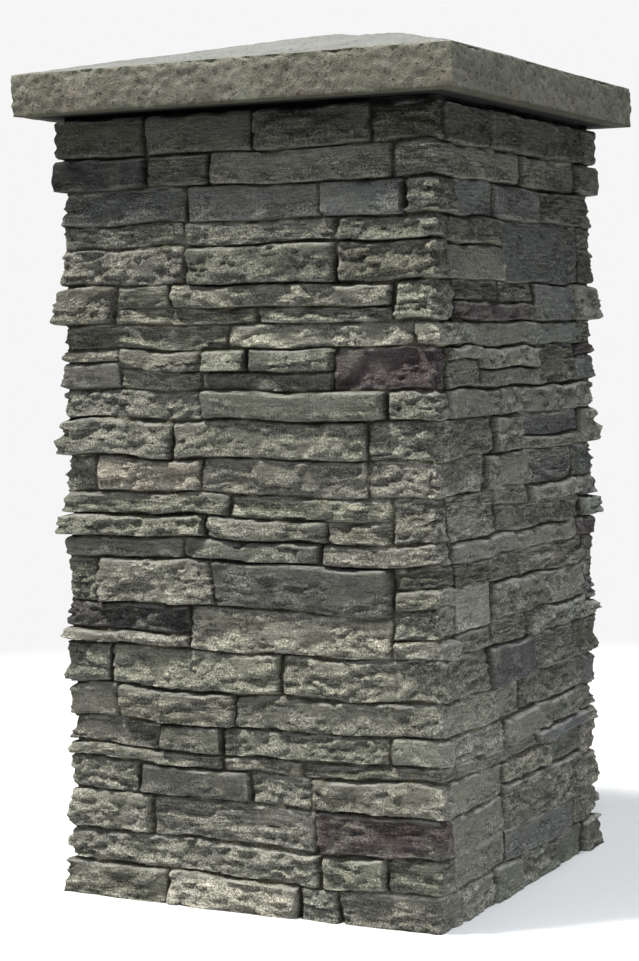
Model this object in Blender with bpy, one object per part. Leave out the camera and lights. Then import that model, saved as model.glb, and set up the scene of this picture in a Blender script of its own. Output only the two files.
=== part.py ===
"""A stacked slate column wrap: four moulded stone panels and a peaked cap, hollow inside.

Two corner panels, front and back, come from one mould and turn both corners of
their face. Two side panels, from a second mould, fill the faces between them. All
four meet along stepped seams, so that the corner stones interlock like real
masonry. The cap overhangs the stones and lies on the top of the panels.

A panel is modelled flat, as a sheet with u across, v up and depth outwards. The
sheet is cut into courses and stones, every stone is raised by its own depth, the
rim is closed back to the plane of the wall's inner face, and the sheet is then
folded round the column.
"""

import math
import random

import bmesh
import bpy
from mathutils import Vector, noise

# Driving sizes, in metres
COLUMN_WIDTH = 0.610  # square plan, over the mean face of the stones
COLUMN_HEIGHT = 1.146  # from the ground to the top of the panels
JOINT_DEPTH = 0.012  # from the mean stone face to the bottom of a joint
STONE_SPREAD = 0.007  # how far a stone may stand before or behind the mean face
STONE_LEAN = 0.003  # how far a stone's face may lean over its height
JOINT_HALF_WIDTH = 0.004  # from the middle of a joint to the edge of a stone's face
JOINT_WANDER = 0.007  # how far the crossings of the joints stray from a ruled line
BACKING = 0.022  # wall behind the bottom of the joints
SEAM_GAP = 0.0015  # between neighbouring panels
CAP_OVERHANG = 0.045  # past the mean face of the stones
CAP_EDGE = 0.060  # height of the cap's upright edge
CAP_RISE = 0.074  # from the top of that edge to the peak
CAP_CHISEL = 0.003  # how deep the cap's edge is hewn in
REST_GAP = 0.0003  # between the cap and the panels that carry it

# The two moulds' bonds, from the top course down. A number is a stone's width in
# hundredths of the face, and a pair is a width with a stack of thinner rows in it.
# A corner course also says how far it steps past the corner's own thickness on its
# left and right returns, in the same hundredths.
CORNER_BOND = [
    (5.4, 4, [25, 29, 30, 16], 1),
    (4.1, 8, [25, 17, 47, 11], 5),
    (4.4, 3, [36, 35, 21, 8], 6),
    (2.9, 6, [35, 40, 25], 1),
    (4.8, 6, [35, 40, 25], 1),
    (5.0, 10, [16, (73, [(2.9, [15, 58]), (2.1, [38, 35])]), 11], 5),
    (3.1, 4, [46, 48, 6], 6),
    (
        5.1,
        8,
        [(17, [(1.7, [1]), (3.4, [1])]), (22, [(2.7, [1]), (2.4, [1])]), (35, [(2.9, [12, 23]), (2.2, [1])]), 26],
        1,
    ),
    (3.6, 3, [39, 48, 13], 1),
    (4.8, 6, [31, 51, 18], 27),
    (4.4, 11, [10, 29, 43, 18], 22),
    (5.6, 5, [(88, [(2.8, [46, 42]), (2.8, [40, 32, 16])]), 12], 1),
    (2.7, 8, [34, 36, 30], 1),
    (
        11.4,
        3,
        [
            (88, [(6.0, [9, 33, 46]), (5.4, [(35, [(3.6, [1]), (1.8, [1])]), 53])]),
            (12, [(2.7, [1]), (2.4, [1]), (3.9, [1]), (2.4, [1])]),
        ],
        5,
    ),
    (5.2, 10, [13, 46, 41], 1),
    (4.2, 4, [15, 32, 53], 8),
    (3.5, 9, [26, 17, 44, 13], 1),
    (1.9, 3, [43, 22, 35], 5),
    (4.2, 6, [20, 30, 17, 33], 1),
    (5.2, 6, [24, 44, 32], 1),
    (4.2, 11, [69, 17, 14], 4),
    (4.3, 5, [28, 35, 11, 26], 7),
]

# How many courses of the corner bond a row of the side bond spans, and its stones
SIDE_BOND = [
    (1, [24, 37, 24]),
    (1, [42, 15, 23]),
    (1, [22, 27, 30]),
    (2, [(33, [(3.3, [1]), (4.4, [1])]), 50]),
    (1, [(51, [(2.5, [27, 24]), (2.5, [1])]), 27]),
    (1, [49, 31]),
    (1, [(19, [(1.7, [1]), (3.4, [1])]), (36, [(2.8, [1]), (2.3, [1])]), 27]),
    (1, [28, 57]),
    (1, [17, (40, [(3.0, [1]), (1.8, [1])])]),
    (1, [24, 33]),
    (1, [28, (56, [(2.3, [20, 36]), (3.3, [1])])]),
    (1, [42, 45]),
    (1, [(19, [(2.8, [1]), (5.8, [1]), (2.8, [1])]), (58, [(3.5, [17, 41]), (4.7, [33, 25]), (3.2, [21, 37])])]),
    (1, [24, 29, 30]),
    (1, [33, 41]),
    (1, [31, 22, 28]),
    (1, [47, 33]),
    (2, [(30, [(4.6, [1]), (4.8, [1])]), (53, [(3.3, [31, 22]), (6.1, [1])])]),
    (1, [27, 42]),
    (1, [18, 16, 39]),
]

STONE_SEED = {"corner": 5, "side": 11}
WANDER_PITCH = 9.0  # how quickly the joints' wandering changes, per metre
CAP_CUTS = 10
CAP_FULLNESS = 1.12  # 1 is a flat-sided pyramid, and more fills out its sides
SAME = 1e-5
FAR = 10.0

# Sizes that follow from them
FACE_HALF = COLUMN_WIDTH / 2
JOINT_PLANE = FACE_HALF - JOINT_DEPTH
CORNER_THICKNESS = JOINT_DEPTH + BACKING
CAP_SIDE = COLUMN_WIDTH + 2 * CAP_OVERHANG

SLATE = (0.155, 0.155, 0.135)
SHADED_SLATE = (0.120, 0.125, 0.118)
CAP_STONE = (0.200, 0.195, 0.165)


def clear_scene():
    """Empty the scene, so that the file gives the same model each time it runs."""
    for obj in list(bpy.data.objects):
        bpy.data.objects.remove(obj, do_unlink=True)


def make_material(name, colour, roughness):
    """A matt moulded stone."""
    material = bpy.data.materials.new(name)
    material.use_nodes = True
    shader = material.node_tree.nodes["Principled BSDF"]
    shader.inputs["Base Color"].default_value = (*colour, 1.0)
    shader.inputs["Roughness"].default_value = roughness
    shader.inputs["Metallic"].default_value = 0.0
    return material


def add_object(name, mesh, material, collection, turn=0.0):
    """Put a mesh into the scene as one named piece, turned about the column's axis."""
    obj = bpy.data.objects.new(name, mesh)
    obj.rotation_euler.z = turn
    if not mesh.materials:
        mesh.materials.append(material)
    collection.objects.link(obj)
    return obj


def return_length(step):
    """How far a corner course reaches round its corner, from the mean face of the stones."""
    return CORNER_THICKNESS + COLUMN_WIDTH * step / 100


def course_lines():
    """The heights that bound the courses, from the top of the panels to the ground."""
    total = sum(course[0] for course in CORNER_BOND)
    lines = [COLUMN_HEIGHT]
    for course in CORNER_BOND:
        lines.append(lines[-1] - COLUMN_HEIGHT * course[0] / total)
    lines[-1] = 0.0
    return lines


def span_of(face, axis):
    """The least and greatest coordinate of a flat sheet's face along one axis."""
    values = [vert.co[axis] for vert in face.verts]
    return min(values), max(values)


def cut(bm, axis, at, low, high):
    """Cut the faces that cross one line, where they lie between low and high along it."""
    chosen = []
    for face in bm.faces:
        near, far = span_of(face, axis)
        start, end = span_of(face, 1 - axis)
        if near < at - SAME and far > at + SAME and low < (start + end) / 2 < high:
            chosen.append(face)
    geometry = dict.fromkeys(chosen)
    for face in chosen:
        geometry.update(dict.fromkeys(face.edges))
        geometry.update(dict.fromkeys(face.verts))
    point = Vector((at, 0, 0)) if axis == 0 else Vector((0, at, 0))
    normal = Vector((1, 0, 0)) if axis == 0 else Vector((0, 1, 0))
    bmesh.ops.bisect_plane(bm, geom=list(geometry), dist=SAME / 10, plane_co=point, plane_no=normal)


def lay_row(bm, blocks, left, right, bottom, top, reach):
    """Part one row into its stones, left to right, and into the stacks among them."""
    total = sum(block[0] if isinstance(block, tuple) else block for block in blocks)
    start = left
    reach_start = reach[0]
    for place, block in enumerate(blocks):
        width, stack = block if isinstance(block, tuple) else (block, None)
        end = start + (right - left) * width / total
        is_last = place == len(blocks) - 1
        reach_end = reach[1] if is_last else end
        if not is_last:
            cut(bm, 0, end, bottom, top)
        if stack:
            lay_stack(bm, stack, start, end, bottom, top, (reach_start, reach_end))
        start = end
        reach_start = end


def lay_stack(bm, rows, left, right, bottom, top, reach):
    """Part a block into rows, from the top down."""
    total = sum(height for height, _ in rows)
    upper = top
    for place, (height, blocks) in enumerate(rows):
        lower = upper - (top - bottom) * height / total
        if place < len(rows) - 1:
            cut(bm, 1, lower, *reach)
        lay_row(bm, blocks, left, right, lower, upper, reach)
        upper = lower


def start_sheet():
    """A flat rectangle that is wider than any panel and as high as the panels."""
    bm = bmesh.new()
    place = Vector((0, COLUMN_HEIGHT / 2, 0))
    bmesh.ops.create_grid(bm, x_segments=1, y_segments=1, size=0.5)
    bmesh.ops.scale(bm, verts=bm.verts, vec=(4 * COLUMN_WIDTH, COLUMN_HEIGHT, 1))
    bmesh.ops.translate(bm, verts=bm.verts, vec=place)
    return bm


def trim_ends(bm, bottom, top, left, right):
    """Cut one course to its length, which gives the panel its stepped edge."""
    cut(bm, 0, left, bottom, top)
    cut(bm, 0, right, bottom, top)
    spare = []
    for face in bm.faces:
        middle = face.calc_center_bounds()
        if bottom < middle.y < top and not left < middle.x < right:
            spare.append(face)
    bmesh.ops.delete(bm, geom=spare, context="FACES")


def corner_sheet():
    """The corner panel laid flat, with its returns folded out to both sides."""
    bm = start_sheet()
    lines = course_lines()
    for line in lines[1:-1]:
        cut(bm, 1, line, -FAR, FAR)
    for place, (_, left_step, blocks, right_step) in enumerate(CORNER_BOND):
        top, bottom = lines[place], lines[place + 1]
        left_end = -JOINT_PLANE - return_length(left_step) + JOINT_DEPTH
        right_end = JOINT_PLANE + return_length(right_step) - JOINT_DEPTH
        trim_ends(bm, bottom, top, left_end, right_end)
        lay_row(bm, blocks, -FACE_HALF, FACE_HALF, bottom, top, (-FAR, FAR))
    return bm


def side_sheet():
    """The side panel laid flat, between the returns of the two corner panels."""
    bm = start_sheet()
    lines = course_lines()
    place = 0
    for span, blocks in SIDE_BOND:
        top, bottom = lines[place], lines[place + span]
        if bottom > 0:
            cut(bm, 1, bottom, -FAR, FAR)
        left = -FACE_HALF + return_length(CORNER_BOND[place][3])
        right = FACE_HALF - return_length(CORNER_BOND[place][1])
        trim_ends(bm, bottom, top, left, right)
        lay_row(bm, blocks, left, right, bottom, top, (-FAR, FAR))
        place += span
    return bm


def open_seams(bm):
    """Draw the sheet's stepped edge in by half the gap, but keep its top and bottom."""
    ring = bmesh.ops.inset_region(
        bm, faces=bm.faces[:], thickness=SEAM_GAP / 2, use_boundary=True, use_even_offset=True
    )
    bmesh.ops.delete(bm, geom=ring["faces"], context="FACES")
    for vert in bm.verts:
        if vert.co.y < SEAM_GAP:
            vert.co.y = 0.0
        elif vert.co.y > COLUMN_HEIGHT - SEAM_GAP:
            vert.co.y = COLUMN_HEIGHT


def number_stones(bm):
    """Number the stones from the top left, so that each draws the same depth each time."""
    layer = bm.faces.layers.int.new("stone")

    def order(face):
        middle = face.calc_center_bounds()
        return (-round(middle.y, 4), round(middle.x, 4))

    for number, face in enumerate(sorted(bm.faces, key=order)):
        face[layer] = number
    return layer


def stray(bm):
    """Let the crossings of the joints wander, but not the panel's edge or the corner lines."""
    for vert in bm.verts:
        if vert.is_boundary:
            continue
        place = Vector((vert.co.x, vert.co.y, 0)) * WANDER_PITCH
        if abs(abs(vert.co.x) - JOINT_PLANE) > SAME:
            vert.co.x += JOINT_WANDER * noise.noise(place)
        vert.co.y += JOINT_WANDER * noise.noise(place + Vector((0, 0, 5.5)))


def raise_stones(bm, layer, seed):
    """Give each stone a sloped edge down to its joints, its own depth and its own lean."""
    draw = random.Random(seed)
    stones = {}
    for face in bm.faces:
        stones.setdefault(face[layer], []).append(face)
    for number in sorted(stones):
        faces = stones[number]
        depth = JOINT_DEPTH + STONE_SPREAD * draw.uniform(-1, 1)
        lean = STONE_LEAN * draw.uniform(-1, 1)
        bmesh.ops.inset_region(
            bm, faces=faces, thickness=JOINT_HALF_WIDTH, use_boundary=True, use_even_offset=True
        )
        verts = list(dict.fromkeys(vert for face in faces for vert in face.verts))
        heights = [vert.co.y for vert in verts]
        low, high = min(heights), max(heights)
        for vert in verts:
            share = (vert.co.y - low) / (high - low)
            vert.co.z = depth + lean * (share - 0.5)
            true_up(vert)


def true_up(vert):
    """Cut a stone square at the ground and under the cap, and keep its corner on the corner line."""
    if vert.co.y < 1.5 * JOINT_HALF_WIDTH:
        vert.co.y = 0.0
    elif vert.co.y > COLUMN_HEIGHT - 1.5 * JOINT_HALF_WIDTH:
        vert.co.y = COLUMN_HEIGHT
    if abs(abs(vert.co.x) - JOINT_PLANE) < JOINT_HALF_WIDTH:
        vert.co.x = math.copysign(JOINT_PLANE, vert.co.x)


def close_back(bm):
    """Close the raised sheet into a wall: its rim, and the flat inner face."""
    rim = [edge for edge in bm.edges if edge.is_boundary]
    grown = bmesh.ops.extrude_edge_only(bm, edges=rim)
    for item in grown["geom"]:
        if isinstance(item, bmesh.types.BMVert):
            item.co.z = -BACKING
    inner_rim = [edge for edge in bm.edges if edge.is_boundary]
    bmesh.ops.edgeloop_fill(bm, edges=inner_rim)


def cut_at_corners(bm):
    """Cut the flat sheet along the two lines where it folds."""
    for side in (-JOINT_PLANE, JOINT_PLANE):
        cut(bm, 0, side, -FAR, FAR)


def fold(bm):
    """Turn the flat panel's returns back round the column's corners."""
    for vert in bm.verts:
        u, v, depth = vert.co
        side = math.copysign(1.0, u)
        past = abs(u) - JOINT_PLANE
        out = JOINT_PLANE + depth
        if past > SAME:
            vert.co = (side * out, -JOINT_PLANE + past, v)
        elif past > -SAME:
            vert.co = (side * out, -out, v)
        else:
            mitre = 1 + min(depth, 0.0) / JOINT_PLANE
            vert.co = (u * mitre, -out, v)


def stand_up(bm):
    """Stand a flat panel on the front face of the column."""
    for vert in bm.verts:
        u, v, depth = vert.co
        vert.co = (u, -(JOINT_PLANE + depth), v)


def panel_mesh(name, sheet, seed, place, corners):
    """Raise, close and place one flat sheet of stones."""
    open_seams(sheet)
    layer = number_stones(sheet)
    if corners:
        cut_at_corners(sheet)
    stray(sheet)
    raise_stones(sheet, layer, seed)
    close_back(sheet)
    if corners:
        cut_at_corners(sheet)
    place(sheet)
    bmesh.ops.recalc_face_normals(sheet, faces=sheet.faces[:])
    mesh = bpy.data.meshes.new(name)
    sheet.to_mesh(mesh)
    sheet.free()
    return mesh


def cap_mesh():
    """The cap: an upright hewn edge, a flat underside and a low peak."""
    bm = bmesh.new()
    bmesh.ops.create_cube(bm, size=1)
    bmesh.ops.scale(bm, verts=bm.verts, vec=(CAP_SIDE, CAP_SIDE, CAP_EDGE))
    for axis, cuts, length in ((0, CAP_CUTS, CAP_SIDE), (1, CAP_CUTS, CAP_SIDE), (2, 3, CAP_EDGE)):
        for step in range(1, cuts):
            normal = Vector((0, 0, 0))
            normal[axis] = 1
            point = normal * length * (step / cuts - 0.5)
            bmesh.ops.bisect_plane(
                bm, geom=bm.verts[:] + bm.edges[:] + bm.faces[:], dist=SAME, plane_co=point, plane_no=normal
            )
    underside = [face for face in bm.faces if face.normal.z < -0.5]
    bmesh.ops.dissolve_faces(bm, faces=underside)
    half = CAP_SIDE / 2
    for vert in bm.verts:
        shape_cap_vert(vert, half)
    bmesh.ops.translate(bm, verts=bm.verts, vec=(0, 0, COLUMN_HEIGHT + REST_GAP + CAP_EDGE / 2))
    bmesh.ops.recalc_face_normals(bm, faces=bm.faces[:])
    mesh = bpy.data.meshes.new("cap")
    bm.to_mesh(mesh)
    bm.free()
    return mesh


def shape_cap_vert(vert, half):
    """Move one point of the cap's block: hew its edge in, or lift it to the peak."""
    x, y, z = vert.co
    reach = max(abs(x), abs(y)) / half
    is_top = z > CAP_EDGE / 2 - SAME
    is_edge = reach > 1 - SAME
    is_corner = min(abs(x), abs(y)) > half - SAME
    if is_edge and not is_corner:
        hewn = CAP_CHISEL * (0.5 + noise.noise(Vector((x * 9, y * 9, z * 30))))
        hewn = max(0.0, min(hewn, CAP_CHISEL))
        if abs(x) > abs(y):
            vert.co.x = math.copysign(half - hewn, x)
        else:
            vert.co.y = math.copysign(half - hewn, y)
    if is_top:
        vert.co.z = z + CAP_RISE * (1 - reach**CAP_FULLNESS)


def build():
    """Build the five pieces."""
    clear_scene()
    collection = bpy.data.collections.new("slate_column_wrap")
    bpy.context.scene.collection.children.link(collection)
    corner = panel_mesh("corner_panel", corner_sheet(), STONE_SEED["corner"], fold, True)
    side = panel_mesh("side_panel", side_sheet(), STONE_SEED["side"], stand_up, False)
    slate = make_material("slate", SLATE, 0.85)
    shaded = make_material("side_slate", SHADED_SLATE, 0.85)
    add_object("front_panel", corner, slate, collection)
    add_object("back_panel", corner, slate, collection, math.pi)
    add_object("right_panel", side, shaded, collection, math.pi / 2)
    add_object("left_panel", side, shaded, collection, -math.pi / 2)
    add_object("cap", cap_mesh(), make_material("cap_stone", CAP_STONE, 0.9), collection)


build()
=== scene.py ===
# %% [markdown]
# # A stacked slate column wrap
#
# The real object is a cover for a plain post: four panels of moulded stone that meet
# along stepped seams, and a hewn cap that lies on them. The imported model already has
# the pieces, their sizes and the depth of every stone. This script gives them their
# split faces, their paint, a floor, light and a camera.

import itertools
import math
import random

import bmesh
import bpy
import numpy as np
from mathutils import Matrix, Vector, kdtree, noise


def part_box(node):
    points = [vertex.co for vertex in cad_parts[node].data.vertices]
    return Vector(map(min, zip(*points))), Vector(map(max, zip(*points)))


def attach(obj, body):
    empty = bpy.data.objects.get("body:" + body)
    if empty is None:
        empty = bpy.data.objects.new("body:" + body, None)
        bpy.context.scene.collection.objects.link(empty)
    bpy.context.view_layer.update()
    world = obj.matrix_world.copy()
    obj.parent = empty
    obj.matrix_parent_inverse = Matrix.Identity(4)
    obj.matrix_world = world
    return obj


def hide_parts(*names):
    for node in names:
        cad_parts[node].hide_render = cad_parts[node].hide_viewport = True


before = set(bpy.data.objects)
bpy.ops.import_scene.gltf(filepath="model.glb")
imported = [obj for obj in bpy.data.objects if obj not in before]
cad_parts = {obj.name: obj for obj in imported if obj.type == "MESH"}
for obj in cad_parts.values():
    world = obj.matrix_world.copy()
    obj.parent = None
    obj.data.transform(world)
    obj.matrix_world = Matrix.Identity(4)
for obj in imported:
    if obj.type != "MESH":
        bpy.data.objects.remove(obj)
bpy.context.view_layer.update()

# %% [markdown]
# ## The sizes that the looks are built on
#
# They are the sizes of the real wrap. The height is read from the frame, so the stones
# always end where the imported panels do. A depth is measured outwards from the bottom
# of the joints, and the inner face of a panel lies a backing's thickness behind it.

# %% Sizes of the wrap, in metres
COLUMN_WIDTH = 0.610
COLUMN_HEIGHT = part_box("front_panel")[1].z
JOINT_DEPTH = 0.012
BACKING = 0.022
SEAM_GAP = 0.0015
FACE_HALF = COLUMN_WIDTH / 2
JOINT_PLANE = FACE_HALF - JOINT_DEPTH
CORNER_THICKNESS = JOINT_DEPTH + BACKING
CLOSE = 1e-6
print(f"a face is {COLUMN_WIDTH:.3f} m wide and {COLUMN_HEIGHT:.3f} m high")

# %% [markdown]
# ## The bond
#
# Stacked stone is laid in courses, but a mould maker breaks them up: some stones are
# two courses high, and some courses split into thin layers for part of their length.
# Each course here is a height, the step of its left return, its stones from left to
# right and the step of its right return. A number is a stone's share of the face, and
# a pair is a share with a stack of thinner rows in it. The looks below them name each
# stone's paint with one letter and its split face with another.

# %% The corner mould, from the top course down
CORNER_BOND = [
    (5.4, 4, [25, 29, 30, 16], 1),
    (4.1, 8, [25, 17, 47, 11], 5),
    (4.4, 3, [36, 35, 21, 8], 6),
    (2.9, 6, [35, 40, 25], 1),
    (4.8, 6, [35, 40, 25], 1),
    (5.0, 10, [16, (73, [(2.9, [15, 58]), (2.1, [38, 35])]), 11], 5),
    (3.1, 4, [46, 48, 6], 6),
    (
        5.1,
        8,
        [
            (17, [(1.7, [1]), (3.4, [1])]),
            (22, [(2.7, [1]), (2.4, [1])]),
            (35, [(2.9, [12, 23]), (2.2, [1])]),
            26,
        ],
        1,
    ),
    (3.6, 3, [39, 48, 13], 1),
    (4.8, 6, [31, 51, 18], 27),
    (4.4, 11, [10, 29, 43, 18], 22),
    (5.6, 5, [(88, [(2.8, [46, 42]), (2.8, [40, 32, 16])]), 12], 1),
    (2.7, 8, [34, 36, 30], 1),
    (
        11.4,
        3,
        [
            (88, [(6.0, [9, 33, 46]), (5.4, [(35, [(3.6, [1]), (1.8, [1])]), 53])]),
            (12, [(2.7, [1]), (2.4, [1]), (3.9, [1]), (2.4, [1])]),
        ],
        5,
    ),
    (5.2, 10, [13, 46, 41], 1),
    (4.2, 4, [15, 32, 53], 8),
    (3.5, 9, [26, 17, 44, 13], 1),
    (1.9, 3, [43, 22, 35], 5),
    (4.2, 6, [20, 30, 17, 33], 1),
    (5.2, 6, [24, 44, 32], 1),
    (4.2, 11, [69, 17, 14], 4),
    (4.3, 5, [28, 35, 11, 26], 7),
]

# %% How the front panel's stones look, course by course
FRONT_LOOKS = [
    # The top course's dark olive paint is partly painted shade under the cap.
    "os os oc ol",
    "vs ol gs gl",
    "bc bs bs gr",
    "gl ll gr",
    "gr gc or",
    "gc gl gc gl gl gr",
    "gl lc lr",
    "gl gs gc lc gc gc gs wc",
    "gr gs gr",
    "gc gc gr",
    "gr pc gc gr",
    "gl gl gr gl gl gr",
    "gs gc gl",
    "gr gc ks vr gr lc ol gl gr gl",
    "gc gc gr",
    "gs ll gc",
    "gc gs gr gs",
    "gl gl gl",
    "gr ks gr gc",
    "gr gl wl",
    "gr gc gl",
    "gl pc gr gc",
]

# %% The side mould: how many courses a row spans, and its stones
SIDE_BOND = [
    (1, [24, 37, 24]),
    (1, [42, 15, 23]),
    (1, [22, 27, 30]),
    (2, [(33, [(3.3, [1]), (4.4, [1])]), 50]),
    (1, [(51, [(2.5, [27, 24]), (2.5, [1])]), 27]),
    (1, [49, 31]),
    (1, [(19, [(1.7, [1]), (3.4, [1])]), (36, [(2.8, [1]), (2.3, [1])]), 27]),
    (1, [28, 57]),
    (1, [17, (40, [(3.0, [1]), (1.8, [1])])]),
    (1, [24, 33]),
    (1, [28, (56, [(2.3, [20, 36]), (3.3, [1])])]),
    (1, [42, 45]),
    (
        1,
        [
            (19, [(2.8, [1]), (5.8, [1]), (2.8, [1])]),
            (58, [(3.5, [17, 41]), (4.7, [33, 25]), (3.2, [21, 37])]),
        ],
    ),
    (1, [24, 29, 30]),
    (1, [33, 41]),
    (1, [31, 22, 28]),
    (1, [47, 33]),
    (2, [(30, [(4.6, [1]), (4.8, [1])]), (53, [(3.3, [31, 22]), (6.1, [1])])]),
    (1, [27, 42]),
    (1, [18, 16, 39]),
]

# %% How the right panel's stones look, row by row
RIGHT_LOOKS = [
    # The top row's dark olive paint is partly painted shade under the cap.
    "os os os",
    "ls gs gs",
    "bs us ol",
    "gc gs us",
    "ol gl wl us",
    "gs bs",
    "gs gs gc gs ol",
    "gs gc",
    "gr us gl",
    "gs bl",
    "gl gs gc gr",
    "gs gc",
    "ol ls gl gc gl gr gc gl gr",
    "gr vs gl",
    "gs gr",
    "gr gs gc",
    "gs us",
    "gs gs gr gs gr",
    "gs us",
    "gr gs gc",
]

# %% [markdown]
# ## Laying the stones out flat
#
# A panel is thought of as a flat sheet first: u runs across it, v runs up, and depth
# comes out of it. For the corner mould the sheet reaches past the face on both sides,
# and those ends are folded round the column later. Every stone becomes a rectangle.


# %% From the bonds to rectangles
def lay_row(blocks, left, right, bottom, top):
    """The stones of one row, left to right, each as left, right, bottom and top."""
    total = sum(block[0] if isinstance(block, tuple) else block for block in blocks)
    stones = []
    start = left
    for block in blocks:
        width, stack = block if isinstance(block, tuple) else (block, None)
        end = start + (right - left) * width / total
        if stack:
            stones += lay_stack(stack, start, end, bottom, top)
        else:
            stones.append([start, end, bottom, top])
        start = end
    return stones


def lay_stack(rows, left, right, bottom, top):
    """The stones of a stack of rows, from the top down."""
    total = sum(height for height, _ in rows)
    stones = []
    upper = top
    for height, blocks in rows:
        lower = upper - (top - bottom) * height / total
        stones += lay_row(blocks, left, right, lower, upper)
        upper = lower
    return stones


def course_lines():
    """The heights that bound the courses, from the top of the panels to the ground."""
    total = sum(course[0] for course in CORNER_BOND)
    lines = [COLUMN_HEIGHT]
    for course in CORNER_BOND:
        lines.append(lines[-1] - COLUMN_HEIGHT * course[0] / total)
    lines[-1] = 0.0
    return lines


def return_length(step):
    """How far a corner course reaches round its corner, from the mean face of the stones."""
    return CORNER_THICKNESS + COLUMN_WIDTH * step / 100


# %% The two sheets: rows of ends, and stones
def corner_layout():
    """The corner mould laid flat: where each course ends, and its stones."""
    lines = course_lines()
    ends = []
    stones = []
    for place, (_, left_step, blocks, right_step) in enumerate(CORNER_BOND):
        top, bottom = lines[place], lines[place + 1]
        left = -FACE_HALF - return_length(left_step)
        right = FACE_HALF + return_length(right_step)
        ends.append((bottom, top, left, right))
        row = lay_row(blocks, -FACE_HALF, FACE_HALF, bottom, top)
        for stone in row:
            stone[0] = left if stone[0] < -FACE_HALF + CLOSE else stone[0]
            stone[1] = right if stone[1] > FACE_HALF - CLOSE else stone[1]
        stones += row
    return ends, np.array(stones)


def side_layout():
    """The side mould laid flat, between the returns of the two corner panels."""
    lines = course_lines()
    ends = []
    stones = []
    place = 0
    for span, blocks in SIDE_BOND:
        top, bottom = lines[place], lines[place + span]
        left = -FACE_HALF + return_length(CORNER_BOND[place][3])
        right = FACE_HALF - return_length(CORNER_BOND[place][1])
        ends.append((bottom, top, left, right))
        stones += lay_row(blocks, left, right, bottom, top)
        place += span
    return ends, np.array(stones)


corner_ends, corner_stones = corner_layout()
side_ends, side_stones = side_layout()
print(len(corner_stones), "stones in the corner mould and", len(side_stones), "in the side mould")

# %% [markdown]
# ## Noise that a whole sheet can read at once
#
# Split stone needs many layers of noise on a hundred thousand points. Calling
# mathutils.noise for each point and layer would take minutes, so this is the same
# idea, gradient noise, written for whole numpy arrays. The third coordinate is a
# slice: each stone reads its own slice, so the relief breaks at every joint, as it
# does between real stones.

# %% Gradient noise on arrays
shuffled = np.random.default_rng(20).permutation(256)
LATTICE = np.concatenate([shuffled, shuffled])
steps = np.array(list(itertools.product((-1.0, 0.0, 1.0), repeat=3)))
DIRECTIONS = steps[np.abs(steps).sum(axis=1) == 2]


def ease(share):
    """A smooth step from 0 to 1."""
    share = np.clip(share, 0.0, 1.0)
    return share * share * (3 - 2 * share)


def swell(x, y, z):
    """Gradient noise at arrays of points, mostly between -0.6 and 0.6."""
    place = np.broadcast_arrays(*(np.asarray(value, float) for value in (x, y, z)))
    cells = [np.floor(value).astype(int) for value in place]
    shares = [value - cell for value, cell in zip(place, cells)]
    fades = [share**3 * (share * (share * 6 - 15) + 10) for share in shares]
    total = np.zeros(place[0].shape)
    for corner in range(8):
        step = [(corner >> axis) & 1 for axis in range(3)]
        key = LATTICE[(cells[0] + step[0]) & 255]
        key = LATTICE[key + ((cells[1] + step[1]) & 255)]
        key = LATTICE[key + ((cells[2] + step[2]) & 255)]
        direction = DIRECTIONS[key % len(DIRECTIONS)]
        value = sum(direction[..., axis] * (shares[axis] - step[axis]) for axis in range(3))
        weight = 1.0
        for axis in range(3):
            weight = weight * (fades[axis] if step[axis] else 1 - fades[axis])
        total += value * weight
    return total


print("noise at three points:", np.round(swell([0.3, 1.7, 2.2], [0.4, 0.1, 0.9], 0.5), 3))

# %% [markdown]
# ## The ways a slate splits
#
# Split slate is made of planes, not of swells, so smooth noise alone would look like
# clay. The heights here are planes: each point takes the level and tilt of the nearest
# of many scattered centres. A wide set of planes runs over every stone. A small set,
# and thin ledges, show only where the stone is broken, and most planes lean back, so
# they catch the light and drop off sharply below.


# %% Broken planes
def scatter(x, y, own, salt):
    """A repeatable number from -0.5 to 0.5 for each cell of a slice."""
    key = LATTICE[(x + 57 * salt) & 255]
    key = LATTICE[key + (y & 255)]
    key = LATTICE[key + (own & 255)]
    return key / 255.0 - 0.5


def facets(u, v, own, width, height, lean):
    """Planes of about one width and height, each at its own tilt and level."""
    bend = 0.30 * swell(u / width * 1.7, v / height * 1.7, own + 11.3)
    x = u / width + bend
    y = v / height + bend
    cell_x, cell_y = np.floor(x).astype(int), np.floor(y).astype(int)
    piece = np.floor(own * 7).astype(int)
    nearest = np.full(x.shape, 9.0)
    surface = np.zeros(x.shape)
    for step in range(9):
        here_x = cell_x + step % 3 - 1
        here_y = cell_y + step // 3 - 1
        across = x - here_x - 0.5 - 0.9 * scatter(here_x, here_y, piece, 1)
        up = y - here_y - 0.5 - 0.9 * scatter(here_x, here_y, piece, 2)
        tilt = 1.3 * scatter(here_x, here_y, piece, 3) * across
        tilt = tilt + (1.6 * scatter(here_x, here_y, piece, 4) - lean) * up
        plane = scatter(here_x, here_y, piece, 5) + tilt
        distance = across**2 + up**2
        surface = np.where(distance < nearest, plane, surface)
        nearest = np.minimum(nearest, distance)
    return surface


# %% Heights of the kinds, in metres
WIDE_HEIGHT = 0.0044
WIDE_PLANE = (0.085, 0.038, 0.25)
SMALL_HEIGHT = 0.0032
SMALL_PLANE = (0.024, 0.0125, 0.85)
LAYER = 0.0080
LEDGE_HEIGHT = 0.0062
LEDGE_LEAN = 0.0016
GRAIN_HEIGHT = 0.0026


def wide_planes(u, v, own):
    """The planes that a whole stone splits along."""
    return WIDE_HEIGHT * facets(u, v, own, *WIDE_PLANE)


def small_planes(u, v, own):
    """Small broken planes that lean back."""
    return SMALL_HEIGHT * facets(u, v, own + 23, *SMALL_PLANE)


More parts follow.
